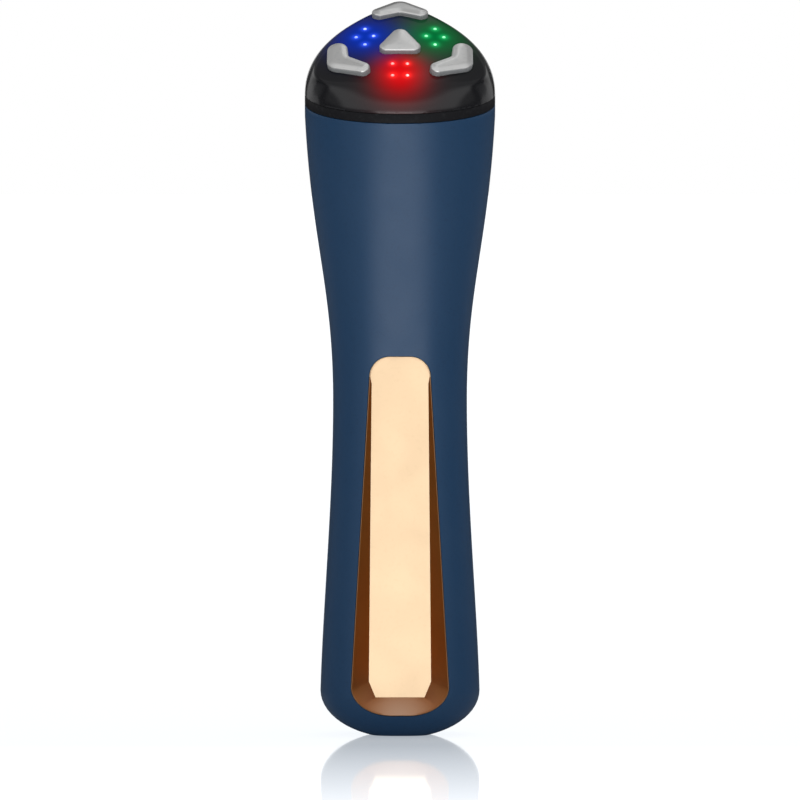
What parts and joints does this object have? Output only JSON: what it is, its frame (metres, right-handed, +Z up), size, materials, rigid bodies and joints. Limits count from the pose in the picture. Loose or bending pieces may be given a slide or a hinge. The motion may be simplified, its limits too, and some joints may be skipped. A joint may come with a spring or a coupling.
{
  "type": "facial care device",
  "caption": "Handheld radio-frequency facial wand with a tilted three-lobed light head, elbow electrodes, a sunk grip electrode and push buttons on its back.",
  "frame": {"origin": "centre of the flat foot, where the wand stands on a surface", "axes": "+Z up along the wand to the treatment head, +X to the right seen from the front; the treatment face and the grip electrode look toward -Y"},
  "size_m": [0.0466, 0.04, 0.1794],
  "materials": {
    "shell_navy": "satin",
    "cap_black": "satin gloss",
    "trim_black": "satin",
    "electrode_steel": "satin",
    "grip_gold": "polished",
    "clear_guide": "clear",
    "board_green": "satin",
    "inner_dark": "satin",
    "ferrite": "matt",
    "inner_pale": "matt",
    "cell_sleeve": "satin",
    "screw_steel": "plated",
    "contact_gold": "plated",
    "wire_red": "satin",
    "wire_black": "satin"
  },
  "bodies": {
    "housing": {"front_shell": "shell_navy", "rear_shell": "shell_navy", "head_cap": "cap_black", "head_trim_ring": "trim_black", "top_electrode": "electrode_steel", "right_electrode": "electrode_steel", "left_electrode": "electrode_steel", "center_electrode": "electrode_steel", "grip_electrode": "grip_gold", "blue_light_guide": "clear_guide", "green_light_guide": "clear_guide", "red_light_guide": "clear_guide", "blue_led": "clear_guide", "green_led": "clear_guide", "red_led": "clear_guide", "level_window": "clear_guide", "led_board": "board_green", "main_board": "board_green", "cell_protection_board": "board_green", "port_board": "board_green", "power_switch": "inner_dark", "mode_switch": "inner_dark", "controller_chip": "inner_dark", "storage_capacitor": "inner_dark", "rf_transformer": "ferrite", "boost_inductor": "ferrite", "head_carrier": "inner_pale", "battery_cradle": "inner_pale", "battery_cell": "cell_sleeve", "carrier_screw_1": "screw_steel", "carrier_screw_2": "screw_steel", "carrier_screw_3": "screw_steel", "carrier_screw_4": "screw_steel", "board_screw_1": "screw_steel", "board_screw_2": "screw_steel", "board_screw_3": "screw_steel", "board_screw_4": "screw_steel", "top_electrode_nut": "screw_steel", "right_electrode_nut": "screw_steel", "left_electrode_nut": "screw_steel", "center_electrode_nut": "screw_steel", "charging_port": "screw_steel", "top_contact": "contact_gold", "right_contact": "contact_gold", "left_contact": "contact_gold", "center_contact": "contact_gold", "grip_contact_spring": "contact_gold", "battery_lead_red": "wire_red", "battery_lead_black": "wire_black", "light_ribbon": "wire_black"},
    "power_key": {"power_button": "shell_navy", "power_plunger": "inner_dark"},
    "mode_key": {"mode_button": "shell_navy", "mode_plunger": "inner_dark"}
  },
  "joints": [
    {"name": "power_press", "type": "slide", "parent": "housing", "child": "power_key", "axis": [0, -1, 0], "range_m": [0, 0.0006], "stiffness_N_per_m": 600},
    {"name": "mode_press", "type": "slide", "parent": "housing", "child": "mode_key", "axis": [0, -1, 0], "range_m": [0, 0.0006], "stiffness_N_per_m": 600}
  ]
}
